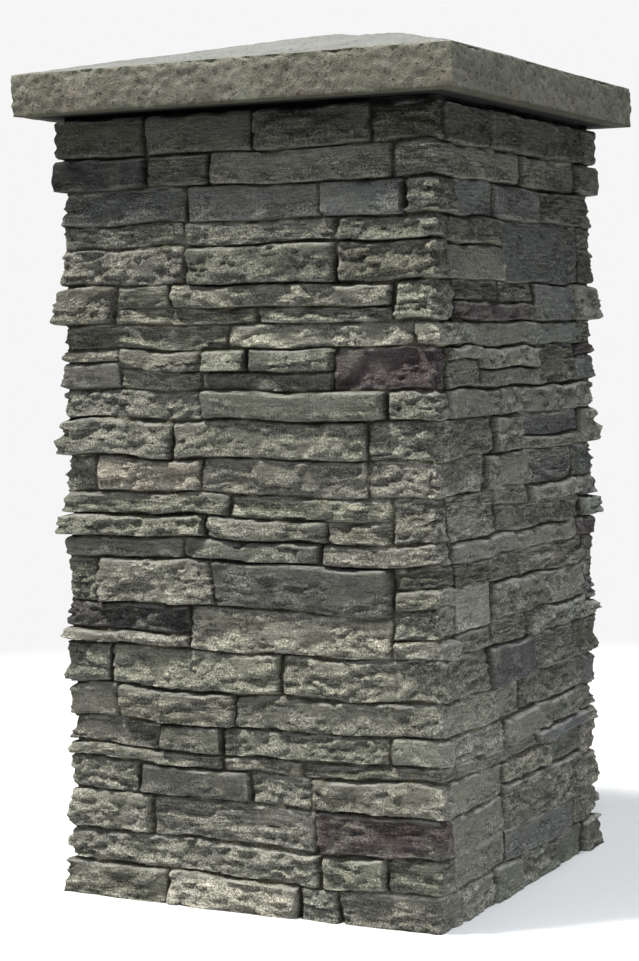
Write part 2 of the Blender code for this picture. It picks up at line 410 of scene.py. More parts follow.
def ledges(u, v, own):
    """Thin ledges that run along the stone, one for each layer."""
    layer = (v + 0.010 * swell(u / 0.09, v / 0.05, own)) / LAYER
    lower = np.floor(layer)
    share = layer - lower
    step = ease((share - 0.60) / 0.40)
    here = swell(u / 0.040, lower * 3.71, own)
    above = swell(u / 0.040, (lower + 1) * 3.71, own)
    return LEDGE_HEIGHT * (here + (above - here) * step) - LEDGE_LEAN * share


def grain(u, v, own):
    """Grain as coarse as the mesh can hold. The finer grain is in the material."""
    return GRAIN_HEIGHT * swell(u / 0.010, v / 0.007, own + 5.1)


# %% How much of each relief a kind of stone has: layered, cleft, rough and smooth
RELIEFS = (wide_planes, small_planes, ledges, grain)
ON_BROKEN = np.array([0.0, 0.85, 0.75, 0.80])
KINDS = {
    "l": (0.75, 0.50, 1.00, 0.40),
    "c": (1.30, 0.85, 0.40, 0.35),
    "r": (0.80, 1.10, 0.45, 1.00),
    "s": (0.40, 0.50, 0.25, 0.30),
}
BROKEN_SHARE = {"l": 0.16, "c": 0.02, "r": 0.42, "s": -0.34}
FLARE_AMOUNT = {"l": 0.9, "c": 1.0, "r": 0.8, "s": 0.45}
STREAKS = {"l": 1.0, "c": 0.45, "r": 0.20, "s": 0.45}
RAGGED = {"s": 0.7, "l": 1.0, "c": 1.1, "r": 1.2}
FLARE_RUN = 0.011


def broken_patches(u, v, own, share):
    """Where a stone is broken, from 0 to 1, with ragged bounds."""
    field = swell(u / 0.060, v / 0.026, own + 31) + 0.45 * swell(u / 0.018, v / 0.010, own + 33)
    return ease((field + share) / 0.09)


def flare(u, above_bed, height, own):
    """The lower part of a stone, which breaks away outwards. From 0 to 1."""
    reach = 0.40 + 0.85 * swell(u / 0.055, 0.7, own + 41) + 0.30 * swell(u / 0.016, 0.2, own + 43)
    return np.clip((np.clip(reach, 0.05, 0.85) * height - above_bed) / FLARE_RUN, 0.0, 1.0)


# %% [markdown]
# ## The grid of a sheet
#
# bmesh's create_grid makes even cells, and its rows and columns can be moved to where
# the stones need them: one on every joint, two close beside it for the steep walls of
# the groove, and even ones between. Subdividing only near the joints would save
# triangles, but an ordered grid keeps every later step a simple formula.

# %% Rows, columns and the bmesh grid
ROW_PITCH = 0.0028
COLUMN_PITCH = 0.0044
BESIDE_JOINT = (0.0009, 0.0024)


def ruled(lines, pitch, beside=()):
    """Positions across a sheet: each line, close ones beside it, and even ones between."""
    positions = [lines[0]]
    for low, high in zip(lines, lines[1:]):
        close = beside if beside and high - low > 4 * beside[-1] else (0.0,)
        first, last = low + close[-1], high - close[-1]
        count = max(1, round((last - first) / pitch))
        positions += [low + step for step in close if step]
        positions += [first + (last - first) * step / count for step in range(1, count)]
        positions += [high - step for step in reversed(close)]
        if close[0]:
            positions.append(high)
    return np.array(positions)


def grid_of(columns, rows):
    """A flat bmesh grid whose vertices lie at the given columns and rows."""
    bm = bmesh.new()
    bmesh.ops.create_grid(bm, x_segments=len(columns) - 1, y_segments=len(rows) - 1, size=0.5)
    for vert in bm.verts:
        column = round((vert.co.x + 0.5) * (len(columns) - 1))
        row = round((vert.co.y + 0.5) * (len(rows) - 1))
        vert.co = (columns[column], rows[row], 0)
    return bm


def cut_to_ends(bm, ends):
    """Delete the cells past the ends of their course, which leaves the stepped edge."""
    spare = []
    for face in bm.faces:
        middle = face.calc_center_bounds()
        for bottom, top, left, right in ends:
            if bottom < middle.y < top and not left < middle.x < right:
                spare.append(face)
    bmesh.ops.delete(bm, geom=spare, context="FACES")
    bm.verts.index_update()


# %% Bring the columns to the upright joints
def warp_columns(points, stones):
    """Move the nearest column of each row onto each upright joint, its neighbours close to it."""
    u = points[:, 0].copy()
    for row in np.unique(points[:, 1]):
        here = np.nonzero(points[:, 1] == row)[0]
        crossed = stones[(stones[:, 2] < row - CLOSE) & (stones[:, 3] > row + CLOSE)]
        joints = np.intersect1d(np.round(crossed[:, 0], 7), np.round(crossed[:, 1], 7))
        across = points[here, 0]
        moved = across.copy()
        for joint in joints:
            shift = joint - across[np.argmin(np.abs(across - joint))]
            near = 1 - ease(np.abs(across - joint) / (4 * COLUMN_PITCH))
            moved = moved + shift * near
            gap = moved - joint
            squeeze = 0.30 + 0.70 * ease(np.abs(gap) / (3 * COLUMN_PITCH))
            moved = np.where(np.abs(gap) < 3 * COLUMN_PITCH, joint + gap * squeeze, moved)
        u[here] = moved
    return u


# %% [markdown]
# ## The face of every stone
#
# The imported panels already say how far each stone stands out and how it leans. A ray
# cast at a low and a high point of each stone reads that back, so the fine surface
# follows the solid. Then come the ragged edges, the groove walls and the relief.

# %% Read each stone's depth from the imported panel
def read_depths(node, stones, turn):
    """For each stone: its depth at the middle, and its lean over its height."""
    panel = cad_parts[node]
    turned = Matrix.Rotation(turn, 3, "Z")
    depths = []
    for left, right, bottom, top in stones:
        middle = (max(left, -JOINT_PLANE) + min(right, JOINT_PLANE)) / 2
        reads = []
        for share in (0.35, 0.65):
            start = turned @ Vector((middle, -2 * FACE_HALF, bottom + (top - bottom) * share))
            found, place, _, _ = panel.ray_cast(start, turned @ Vector((0, 1, 0)))
            reads.append(-(turned.transposed() @ place).y - JOINT_PLANE if found else JOINT_DEPTH)
        depths.append((sum(reads) / 2, (reads[1] - reads[0]) / 0.3))
    return np.array(depths)


corner_depths = read_depths("front_panel", corner_stones, 0)
side_depths = read_depths("right_panel", side_stones, math.pi / 2)
print("corner stones stand", np.round([corner_depths[:, 0].min(), corner_depths[:, 0].max()], 4), "m out")


# %% Which stone a point belongs to
def stone_of(points, stones):
    """The number of the stone that holds each point of the flat sheet."""
    owner = np.zeros(len(points), int)
    for number, (left, right, bottom, top) in enumerate(stones):
        inside = (points[:, 0] >= left - CLOSE) & (points[:, 0] <= right + CLOSE)
        inside &= (points[:, 1] >= bottom - CLOSE) & (points[:, 1] <= top + CLOSE)
        owner[inside] = number
    return owner


# %% Ragged edges and groove walls
WALL_RUN = 0.0018
CORNER_ROUND = 0.004
TOP_JOINT = 0.006


def edge_distance(points, stones, owner, own, ragged):
    """How far each point lies inside its stone's broken outline, below its top and from its ends."""
    u, v = points[:, 0], points[:, 1]
    left, right, bottom, top = (stones[owner, side] for side in range(4))

    def broken(along, pitch, least, side):
        wave = swell(along / 0.045, own, side) + 0.35 * swell(along / 0.012, own, side + 4.4)
        return ragged * pitch * np.clip(least + 1.3 * wave, 0.0, 2.0)

    from_left = u - left - broken(v, 0.0030, 0.55, 0.5)
    from_right = right - u - broken(v, 0.0030, 0.55, 1.5)
    from_bottom = v - bottom - broken(u, 0.0026, 0.35, 2.5)
    from_top = top - v - broken(u, 0.0026, 0.35, 3.5)
    from_bottom = np.where(bottom < CLOSE, 1.0, from_bottom)
    from_top = np.where(top > COLUMN_HEIGHT - CLOSE, from_top - TOP_JOINT, from_top)
    across = np.minimum(from_left, from_right)
    along = np.minimum(from_bottom, from_top)
    inside = np.minimum(across, along)
    in_corner = (across < CORNER_ROUND) & (along < CORNER_ROUND)
    rounded = CORNER_ROUND - np.hypot(CORNER_ROUND - across, CORNER_ROUND - along)
    return np.where(in_corner, rounded, inside), from_top, across


# %% [markdown]
# Every point now gets its depth: from the floor of the joint, up the wall, over a
# worn shoulder and onto the split face. A few fields are kept with it for the paint,
# such as how deep in a joint it lies and how far its ridge stands proud.

# %% Depth of every point of a sheet
ARRIS_WEAR = 0.0030
ARRIS_RUN = 0.011
TOP_BEVEL = 0.0035
BEVEL_RUN = 0.0065
FLARE = 0.0060
RELIEF_LIMIT = 0.0075
PROUDEST = 0.0225
DEEPEST = -0.001
# Within this distance of a stone's end, the upright joint gets dark wash with painted shade on it.
UPRIGHT_WASH_AND_SHADE = 0.0026
LIT_UPRIGHT = 0.25


def top_bevel(u, own, from_top):
    """How far the worn top edge of a stone falls back."""
    wear = np.clip(0.7 + swell(u / 0.04, 0.1, own + 61), 0.2, 1.2)
    return TOP_BEVEL * (1 - ease(from_top / BEVEL_RUN)) * wear


def arris_wear(u, v, own):
    """How far the stones are worn back along the column's own corners."""
    worn = ARRIS_WEAR * np.clip(0.5 + 1.8 * swell(v / 0.018, 0.3, own), 0.0, 1.8)
    return worn * (1 - ease(np.abs(np.abs(u) - FACE_HALF) / ARRIS_RUN)) ** 2


def painted_edge_highlight(u, v, own, inside, from_top):
    """A pale line just inside a stone's outline, mostly along its top: painted highlight over a little
    rubbed paint.
    """
    line = np.exp(-(((inside - 0.0030) / 0.0017) ** 2))
    line = line * (0.35 + 0.65 * ease(1 - (from_top - inside) / 0.001))
    return line * ease((swell(u / 0.035, v / 0.02, own + 51) + 0.32) / 0.25)


def split_faces(points, stones, depths, kinds, is_corner, seed):
    """The depth of each point, and the fields that the paint reads."""
    draw = np.random.default_rng(seed)
    slices = draw.uniform(0, 200, len(stones))
    flared = draw.uniform(0.35, 1.0, len(stones)) * np.array([FLARE_AMOUNT[kind] for kind in kinds])
    owner = stone_of(points, stones)
    own = slices[owner]

    def of_kind(table):
        return np.array([table[kind] for kind in kinds])[owner]

    u, v = points[:, 0], points[:, 1]
    low, high = stones[owner, 2], stones[owner, 3]
    share = (v - low) / (high - low)
    rise = flare(u, v - low, high - low, own)
    broken = np.maximum(broken_patches(u, v, own, of_kind(BROKEN_SHARE)), ease(rise * 5))
    shown = 1 - ON_BROKEN * (1 - broken[:, None])
    parts = of_kind(KINDS) * shown * np.column_stack([relief(u, v, own) for relief in RELIEFS])
    fine = parts[:, 1:].sum(axis=1)
    relief = FLARE * flared[owner] * (rise - 0.35) + parts.sum(axis=1)
    relief = RELIEF_LIMIT * np.tanh(relief / RELIEF_LIMIT)
    inside, from_top, from_end = edge_distance(points, stones, owner, own, of_kind(RAGGED))
    face = depths[owner, 0] + depths[owner, 1] * (share - 0.5) + relief
    face = face - top_bevel(u, own, from_top)
    wall = ease(inside / WALL_RUN)
    shoulder_run = 0.003 + 0.012 * np.clip(swell(u / 0.035, v / 0.02, own + 6.6) + 0.1, 0, 1)
    shoulder = ease(inside / shoulder_run)
    floor = np.clip(0.0022 + 0.008 * swell(u / 0.03, v / 0.03, 0.7), 0.0, 0.007)
    depth = floor + (face - floor) * (0.88 * wall + 0.12 * shoulder)
    upright = 1 - ease(from_end / UPRIGHT_WASH_AND_SHADE)
    if is_corner:
        depth -= wall * arris_wear(u, v, own)
        # Only a quarter as much of this painted shade on the front and back faces as on the returns and
        # side panels.
        upright = np.where(np.abs(u) < FACE_HALF, LIT_UPRIGHT * upright, upright)
    depth = np.clip(depth, DEEPEST, PROUDEST)
    fields = {
        "edge_highlight": painted_edge_highlight(u, v, own, inside, from_top),
        "face": wall * (0.7 + 0.3 * shoulder),
        "ridge": np.clip(fine / 0.0030, -1, 1),
        "streak": of_kind(STREAKS),
        "upright": upright,
        "broken": broken,
    }
    return depth, owner, fields


# %% [markdown]
# ## From a flat sheet to a panel
#
# The joints wander a little instead of running ruled, by the same field as in the
# packed panels. The rim is drawn in by half the gap between panels, extruded back to
# the inner face and filled there. Last, the corner mould is folded round the column.
# The fold works on the mean face of the stones: what stands out further, or lies
# deeper, moves along the diagonal of the corner, so the stones keep a true arris.

# %% Wandering joints
JOINT_WANDER = 0.007
WANDER_PITCH = 9.0
CALM_EDGE = 0.03


def wander(points, rim):
    """How far the joints' field moves each point, fading out towards the panel's edge."""
    tree = kdtree.KDTree(len(rim))
    for number, (u, v) in enumerate(rim):
        tree.insert((u, v, 0), number)
    tree.balance()
    moves = np.zeros((len(points), 2))
    for number, (u, v) in enumerate(points):
        distance = tree.find((u, v, 0))[2]
        calm = min(distance / CALM_EDGE, 1.0)
        calm = calm * calm * (3 - 2 * calm)
        across = u if abs(u) < JOINT_PLANE else math.copysign(max(JOINT_PLANE, abs(u) - JOINT_DEPTH), u)
        place = Vector((across, v, 0)) * WANDER_PITCH
        moves[number, 0] = calm * JOINT_WANDER * noise.noise(place)
        moves[number, 1] = calm * JOINT_WANDER * noise.noise(place + Vector((0, 0, 5.5)))
    near_fold = np.abs(np.abs(points[:, 0]) - FACE_HALF)
    moves[:, 0] *= ease(near_fold / 0.03)
    return moves


def rim_inset(bm, gap):
    """How far each point moves so that the sheet's sides draw in, but not its top and bottom."""
    moves = np.zeros((len(bm.verts), 2))
    for vert in bm.verts:
        if vert.is_boundary:
            pull = Vector((0, 0))
            for face in vert.link_faces:
                middle = face.calc_center_bounds()
                pull.x += math.copysign(1, middle.x - vert.co.x)
                pull.y += math.copysign(1, middle.y - vert.co.y)
            across = math.copysign(gap, pull.x) if abs(pull.x) > 0.5 else 0.0
            up = math.copysign(gap, pull.y) if abs(pull.y) > 0.5 else 0.0
            is_end = vert.co.y < CLOSE or vert.co.y > COLUMN_HEIGHT - CLOSE
            moves[vert.index] = (across, 0.0 if is_end else up)
    return moves


# %% Fold or stand a sheet
FOLD_ZONE = 0.036


def fold_points(points):
    """Turn a flat sheet's points round the column's corners."""
    u, v, depth = points.T
    side = np.sign(u)
    past = np.abs(u) - FACE_HALF
    lift = depth - JOINT_DEPTH
    turn = np.clip(1 - np.abs(past) / FOLD_ZONE, 0, 1)
    out = FACE_HALF + lift
    on_face = past <= 0
    x = np.where(on_face, u + side * turn * lift, side * out)
    y = np.where(on_face, -out, -FACE_HALF + past - turn * lift)
    return np.column_stack([x, y, v])


def stand_points(points):
    """Stand a flat sheet's points on the front face of the column."""
    u, v, depth = points.T
    return np.column_stack([u, -(JOINT_PLANE + depth), v])


# %% Keep what is made
def as_mesh(bm, name):
    """A finished bmesh as a mesh."""
    mesh = bpy.data.meshes.new(name)
    bm.to_mesh(mesh)
    bm.free()
    return mesh


def add_object(name, data):
    """A new object in the scene, at the origin."""
    obj = bpy.data.objects.new(name, data)
    bpy.context.scene.collection.objects.link(obj)
    return obj


# %% Build one mould as a finished mesh
def flat_sheet(ends, stones, is_corner, fineness):
    """The grid of a sheet, cut to its stepped outline."""
    sides = [side for row in ends for side in row[2:]]
    folds = [-FACE_HALF, FACE_HALF] if is_corner else []
    columns = ruled(np.unique(np.round(sides + folds, 7)), COLUMN_PITCH / fineness)
    rows = ruled(np.unique(np.round(stones[:, 2:], 7)), ROW_PITCH / fineness, BESIDE_JOINT)
    bm = grid_of(columns, rows)
    cut_to_ends(bm, ends)
    return bm


def mould(name, ends, stones, depths, looks, is_corner, seed, fineness=1.0):
    """The panel's mesh on the front face, with each point's stone number and fields."""
    bm = flat_sheet(ends, stones, is_corner, fineness)
    flat = np.array([vert.co[:2] for vert in bm.verts])
    on_rim = np.array([vert.is_boundary for vert in bm.verts])
    on_fold = np.abs(np.abs(flat[:, 0]) - FACE_HALF) < 1e-5
    flat[:, 0] = np.where(on_rim | on_fold, flat[:, 0], warp_columns(flat, stones))
    kinds = [look[1] for look in looks]
    depth, owner, fields = split_faces(flat, stones, depths, kinds, is_corner, seed)
    moved = flat + wander(flat, flat[on_rim]) + rim_inset(bm, SEAM_GAP / 2)
    number = bm.verts.layers.int.new("number")
    for index, vert in enumerate(bm.verts):
        vert.co = (*moved[index], depth[index])
        vert[number] = index
    close_back(bm, is_corner)
    mesh = as_mesh(bm, name)
    points = read_all(mesh.vertices, "co", 3)
    source = read_all(mesh.attributes["number"].data, "value", 1).astype(int)
    mesh.attributes.remove(mesh.attributes["number"])
    fields = {field: values[source] for field, values in fields.items()}
    fields["stone"] = np.where(points[:, 2] < 1e-4 - BACKING, -1, owner[source])
    placed = fold_points(points) if is_corner else stand_points(points)
    mesh.vertices.foreach_set("co", placed.ravel())
    mesh.update()
    print(name, "has", len(mesh.vertices), "vertices and", len(mesh.polygons), "faces")
    return mesh, fields


def read_all(items, name, width):
    """One property of every item as an array."""
    values = np.empty(len(items) * width)
    items.foreach_get(name, values)
    return values.reshape(-1, width) if width > 1 else values


def close_back(bm, is_corner):
    """Extrude the rim back to the inner face, fill it and cut the filling where it folds."""
    rim = [edge for edge in bm.edges if edge.is_boundary]
    grown = bmesh.ops.extrude_edge_only(bm, edges=rim)
    for item in grown["geom"]:
        if isinstance(item, bmesh.types.BMVert):
            item.co.z = -BACKING
    inner_rim = [edge for edge in bm.edges if edge.is_boundary]
    back = bmesh.ops.edgeloop_fill(bm, edges=inner_rim)["faces"]
    if is_corner:
        for side in (-FACE_HALF, FACE_HALF):
            piece = [face for face in bm.faces if len(face.verts) > 4]
            around = list(dict.fromkeys(edge for face in piece for edge in face.edges))
            corners = list(dict.fromkeys(vert for face in piece for vert in face.verts))
            cut = {"plane_co": (side, 0, 0), "plane_no": (1, 0, 0), "dist": 1e-5}
            bmesh.ops.bisect_plane(bm, geom=piece + around + corners, **cut)
    bmesh.ops.recalc_face_normals(bm, faces=bm.faces[:])


def looks_list(rows):
    """A list with one two-letter look for each stone."""
    return [look for row in rows for look in row.split()]


corner_mesh, corner_fields = mould(
    "corner_mould", corner_ends, corner_stones, corner_depths, looks_list(FRONT_LOOKS), True, 31
)
side_mesh, side_fields = mould(
    "side_mould", side_ends, side_stones, side_depths, looks_list(RIGHT_LOOKS), False, 47, 1.25
)

# %% [markdown]
# ## Paint
#
# The moulded stones are sprayed one by one: most in a grey green, a few in blue grey,
# violet, wine or a pinkish beige. The colour of each stone is kept on the mesh as an
# attribute, so one material serves all the panels. The back and the left side aren't
# in the photograph, so their stones draw a colour by lot, in the same shares.

# %% Colours, and the lot for the hidden sides
PAINTS = {
    "g": (0.150, 0.150, 0.126),
    "o": (0.090, 0.088, 0.071),
    "l": (0.200, 0.198, 0.168),
    "b": (0.136, 0.141, 0.136),
    "u": (0.126, 0.130, 0.127),
    "v": (0.056, 0.052, 0.053),
    "w": (0.074, 0.058, 0.060),
    "p": (0.315, 0.300, 0.256),
    "k": (0.064, 0.063, 0.056),
}
BARE_FOAM = (0.200, 0.190, 0.160)
VIOLET = {"u": 0.50, "v": 0.10, "w": 0.05, "b": 0.25}
USUAL_VIOLET = 0.12
TONE_SPREAD = (0.78, 1.20)
TINT_SPREAD = (0.97, 1.03)
LOT = "g" * 26 + "o" * 4 + "l" * 4 + "b" * 3 + "u" * 2 + "v" + "w" + "p" + "k" * 2


def drawn_looks(count, seed):
    """A look by lot for each stone of a side that the photograph doesn't show."""
    draw = random.Random(seed)
    return [draw.choice(LOT) + "g" for _ in range(count)]


def add_field(mesh, name, values):
    """Keep one number for each vertex on the mesh."""
    attribute = mesh.attributes.new(name, "FLOAT", "POINT")
    attribute.data.foreach_set("value", np.asarray(values, float))


def paint(mesh, looks, fields, seed):
    """Keep each stone's colour and fields on the mesh. The inner face stays bare foam."""
    draw = np.random.default_rng(seed)
    colours = np.array([PAINTS[look[0]] for look in looks])
    colours = colours * draw.uniform(*TONE_SPREAD, (len(looks), 1))
    colours = colours * draw.uniform(*TINT_SPREAD, (len(looks), 3))
    colours = np.column_stack([np.vstack([colours, BARE_FOAM]), np.ones(len(looks) + 1)])
    stone = fields["stone"]
    attribute = mesh.attributes.new("paint", "FLOAT_COLOR", "POINT")
    attribute.data.foreach_set("color", colours[stone].ravel())
    for name in ("face", "ridge", "streak", "broken", "edge_highlight", "upright"):
        add_field(mesh, name, fields[name])
    add_field(mesh, "own", draw.uniform(0, 50, len(looks) + 1)[stone])
    violet = [VIOLET.get(look[0], USUAL_VIOLET) for look in looks]
    add_field(mesh, "violet", np.array(violet + [0.0])[stone])


# %% [markdown]
# ## Shader groups
#
# Both finishes use a mottled tone and a grain with pits, and the slate also has fine
# bedding lines and small shards. Each effect is a node group with named inputs, built
# once, that puts out tones, masks and heights. A group may only feed values, so the
# Principled shader and the Bump node stay in the material itself.

# %% Helpers for node trees
def connect(tree, socket, value):
    """Link a socket to another node's output, or set it to a number, a tuple or a colour."""
    if isinstance(value, bpy.types.NodeSocket):
        tree.links.new(value, socket)
    elif isinstance(value, tuple) and len(socket.default_value) == 4:
        socket.default_value = (*value, 1.0)
    else:
        socket.default_value = value


def calculate(tree, operation, *values):
    """A Math node on sockets or numbers. Returns its output."""
    node = tree.nodes.new("ShaderNodeMath")
    node.operation = operation
    for socket, value in zip(node.inputs, values):
        connect(tree, socket, value)
    return node.outputs[0]


def product(tree, *values):
    """The product of all the given sockets or numbers."""
    total = values[0]
    for value in values[1:]:
        total = calculate(tree, "MULTIPLY", total, value)
    return total


def combine(tree, operation, *values):
    """A Vector Math node on sockets or tuples. Returns its output."""
    node = tree.nodes.new("ShaderNodeVectorMath")
    node.operation = operation
    for socket, value in zip(node.inputs, values):
        connect(tree, socket, value)
    return node.outputs["Value" if operation == "DOT_PRODUCT" else "Vector"]


def blend(tree, kind, amount, first, second):
    """A colour Mix node. Returns its output."""
    node = tree.nodes.new("ShaderNodeMix")
    node.data_type = "RGBA"
    node.blend_type = kind
    for place, value in ((0, amount), (6, first), (7, second)):
        connect(tree, node.inputs[place], value)
    return node.outputs[2]


def stretched(tree, place, stretch, shift=(0, 0, 0)):
    """Coordinates through a Mapping node."""
    node = tree.nodes.new("ShaderNodeMapping")
    connect(tree, node.inputs["Vector"], place)
    connect(tree, node.inputs["Location"], shift)
    connect(tree, node.inputs["Scale"], stretch)
    return node.outputs[0]


def cloud(tree, place, scale, detail, stretch=(1, 1, 1), shift=(0, 0, 0), roughness=0.55):
    """A noise texture's value. A scale of 100 makes patches of about a centimetre."""
    texture = tree.nodes.new("ShaderNodeTexNoise")
    connect(tree, texture.inputs["Vector"], stretched(tree, place, stretch, shift))
    connect(tree, texture.inputs["Scale"], scale)
    connect(tree, texture.inputs["Detail"], detail)
    connect(tree, texture.inputs["Roughness"], roughness)
    return texture.outputs[0]


def ramp(tree, value, low, high, start=0.0, end=1.0):
    """A clamped Map Range node. Returns its output."""
    node = tree.nodes.new("ShaderNodeMapRange")
    for socket, setting in zip(node.inputs, (value, low, high, start, end)):
        connect(tree, socket, setting)
    return node.outputs[0]


def axes(tree, place):
    """The three numbers of a vector, as X, Y and Z."""
    node = tree.nodes.new("ShaderNodeSeparateXYZ")
    connect(tree, node.inputs[0], place)
    return node.outputs


def new_group(name, setting, default, outputs):
    """A node group that reads a place and one setting, with its sockets inside."""
    tree = bpy.data.node_groups.new(name, "ShaderNodeTree")
    tree.interface.new_socket("Place", in_out="INPUT", socket_type="NodeSocketVector")
    socket = tree.interface.new_socket(setting, in_out="INPUT", socket_type="NodeSocketFloat")
    socket.default_value = default
    for label in outputs:
        tree.interface.new_socket(label, in_out="OUTPUT", socket_type="NodeSocketFloat")
    return tree, tree.nodes.new("NodeGroupInput").outputs, tree.nodes.new("NodeGroupOutput").inputs


# %% Mottled tone
def mottle_group():
    """A tone between dark and light that changes in broad and small patches."""
    tree, given, made = new_group("mottled tone", "Amount", 0.3, ("Tone", "Patch"))
    place = given["Place"]
    broad = ramp(tree, cloud(tree, place, 14, 3), 0.30, 0.70, -1.0, 1.0)
    small = cloud(tree, place, 85, 5, shift=(3, 1, 7), roughness=0.65)
    both = calculate(tree, "MULTIPLY_ADD", ramp(tree, small, 0.28, 0.72, -1.0, 1.0), 0.7, broad)
    connect(tree, made["Tone"], calculate(tree, "MULTIPLY_ADD", both, given["Amount"], 1.0))
    patch = cloud(tree, place, 22, 4, shift=(9, 4, 2))
    connect(tree, made["Patch"], ramp(tree, patch, 0.48, 0.62))
    return tree


# %% Bedding lines
def bedding_group():
    """Fine lines that run level through the stone, as a height and a tone."""
    tree, given, made = new_group("bedding lines", "Strength", 1.0, ("Height", "Tone"))
    lines = cloud(tree, given["Place"], 26, 4, stretch=(1, 1, 9), roughness=0.6)
    thin = cloud(tree, given["Place"], 50, 3, stretch=(1, 1, 5.5), shift=(2, 5, 1))
    both = calculate(tree, "MULTIPLY_ADD", thin, 0.8, lines)
    connect(tree, made["Height"], product(tree, both, given["Strength"]))
    line = ramp(tree, both, 0.74, 1.06, -0.34, 0.34)
    connect(tree, made["Tone"], calculate(tree, "MULTIPLY_ADD", line, given["Strength"], 1.0))
    return tree


# %% Grain and pits
def grain_group():
    """The grit of the surface, with scattered pits, as a height and two masks."""
    tree, given, made = new_group("grain and pits", "Pits", 0.3, ("Height", "Pit", "Speckle"))
    place = given["Place"]
    grit = cloud(tree, place, 380, 3, roughness=0.7)
    lumps = cloud(tree, place, 120, 4, shift=(5, 5, 5), roughness=0.6)
    holes = cloud(tree, place, 150, 2, shift=(1, 8, 3))
    rough = calculate(tree, "MULTIPLY_ADD", grit, 0.6, lumps)
    sunk = product(tree, ramp(tree, holes, 0.62, 0.72), given["Pits"])
    connect(tree, made["Height"], calculate(tree, "SUBTRACT", rough, sunk))
    connect(tree, made["Pit"], sunk)
    connect(tree, made["Speckle"], ramp(tree, grit, 0.42, 0.60, -1.0, 1.0))
    return tree


# %% Shards
def shards_group():
    """Small tilted planes, flat in their middles and sharp where they meet, as a height."""
    tree, given, made = new_group("shards", "Size", 100.0, ("Height",))
    place = stretched(tree, given["Place"], (1, 1, 1.8))
    cells = tree.nodes.new("ShaderNodeTexVoronoi")
    connect(tree, cells.inputs["Vector"], place)
    connect(tree, cells.inputs["Scale"], given["Size"])
    offset = combine(tree, "SUBTRACT", place, cells.outputs["Position"])
    tilt = combine(tree, "SUBTRACT", cells.outputs["Color"], (0.5, 0.5, 1.1))
    slope = product(tree, combine(tree, "DOT_PRODUCT", offset, tilt), given["Size"])
    level = axes(tree, cells.outputs["Color"])[0]
    connect(tree, made["Height"], calculate(tree, "MULTIPLY_ADD", level, 0.5, slope))
    return tree


GROUPS = {
    "mottle": mottle_group(),
    "bedding": bedding_group(),
    "grain": grain_group(),
    "shards": shards_group(),
}


# %% Helpers for the materials
def use_group(tree, name, place, setting, value):
    """One of the groups in a material, with its one setting. Returns its outputs."""
    node = tree.nodes.new("ShaderNodeGroup")
    node.node_tree = GROUPS[name]
    connect(tree, node.inputs["Place"], place)
    connect(tree, node.inputs[setting], value)
    return node.outputs


def read_field(tree, name, socket="Fac"):
    """The value of one of the mesh's own fields."""
    node = tree.nodes.new("ShaderNodeAttribute")
    node.attribute_name = name
    return node.outputs[socket]


def new_material(name, specular=0.5):
    """A material, its node tree, its Principled shader and the object's coordinates."""
    material = bpy.data.materials.new(name)
    material.use_nodes = True
    tree = material.node_tree
    shader = tree.nodes["Principled BSDF"]
    shader.inputs["Specular IOR Level"].default_value = specular
    return material, tree, shader, tree.nodes.new("ShaderNodeTexCoord").outputs["Object"]


def bump(tree, shader, height, distance, strength):
    """Feed a height to the shader's normal."""
    node = tree.nodes.new("ShaderNodeBump")
    connect(tree, node.inputs["Height"], height)
    connect(tree, node.inputs["Distance"], distance)
    connect(tree, node.inputs["Strength"], strength)
    connect(tree, shader.inputs["Normal"], node.outputs[0])


# %% [markdown]
# ## The stones' finish
#
# The paint of each stone is mottled, and in patches the grey green undercoat or a
# violet spray shows through. Broken parts are paler, in part as painted highlight
# where the lower parts of stones break outwards and face up. A pale line just inside
# each outline, mostly along the tops, is painted highlight over a little rubbed paint.
# The joints are dark with the wash that the maker lets run into them, and along a
# stone's upright ends that wash has painted shade on it. Painted shade darkens the top
# courses under the cap, and a near-black painted shadow lies in the gap just below it.
# Every stone reads the patterns at its own offset, so no line or patch runs on from one
# stone into the next.

# %% Colours and measures of the slate's finish
UNDERCOAT = (0.155, 0.154, 0.130)
UNDERCOAT_SHARE = 0.38
VIOLET_SPRAY = (0.112, 0.108, 0.132)
PLAIN = (1.0, 1.0, 1.0)
SMOOTH_TINT = (0.99, 0.985, 0.94)
# Broken parts are paler, partly as painted highlight on the lower parts of stones that break outwards and
# face up.
BROKEN_AND_LIT_TINT = (1.31, 1.305, 1.24)
WASH_TINT = (0.60, 0.58, 0.49)
# Painted highlight: the pale line along the stones' edges, mostly their tops.
EDGE_HIGHLIGHT_TINT = (0.390, 0.386, 0.350)
EDGE_HIGHLIGHT_SHARE = 0.75
# Upright joints: dark wash with painted shade on it.
UPRIGHT_TONE = 0.40
# Painted shade under the cap: the top courses darken towards it.
CAP_SHADE_TONE = 0.72
CAP_SHADE_BAND = (COLUMN_HEIGHT - 0.09, COLUMN_HEIGHT - 0.01)
# A near-black painted shadow in the gap just under the cap.
SHADOW_GAP_TONE = 0.10
SHADOW_GAP_BAND = (COLUMN_HEIGHT - 0.013, COLUMN_HEIGHT - 0.007)
SPECKLE = 0.56
SMOOTH_SPECKLE = 0.50
LARGE_SHARDS = 95.0
SMALL_SHARDS = 300.0
SLATE_BUMP = 0.0085


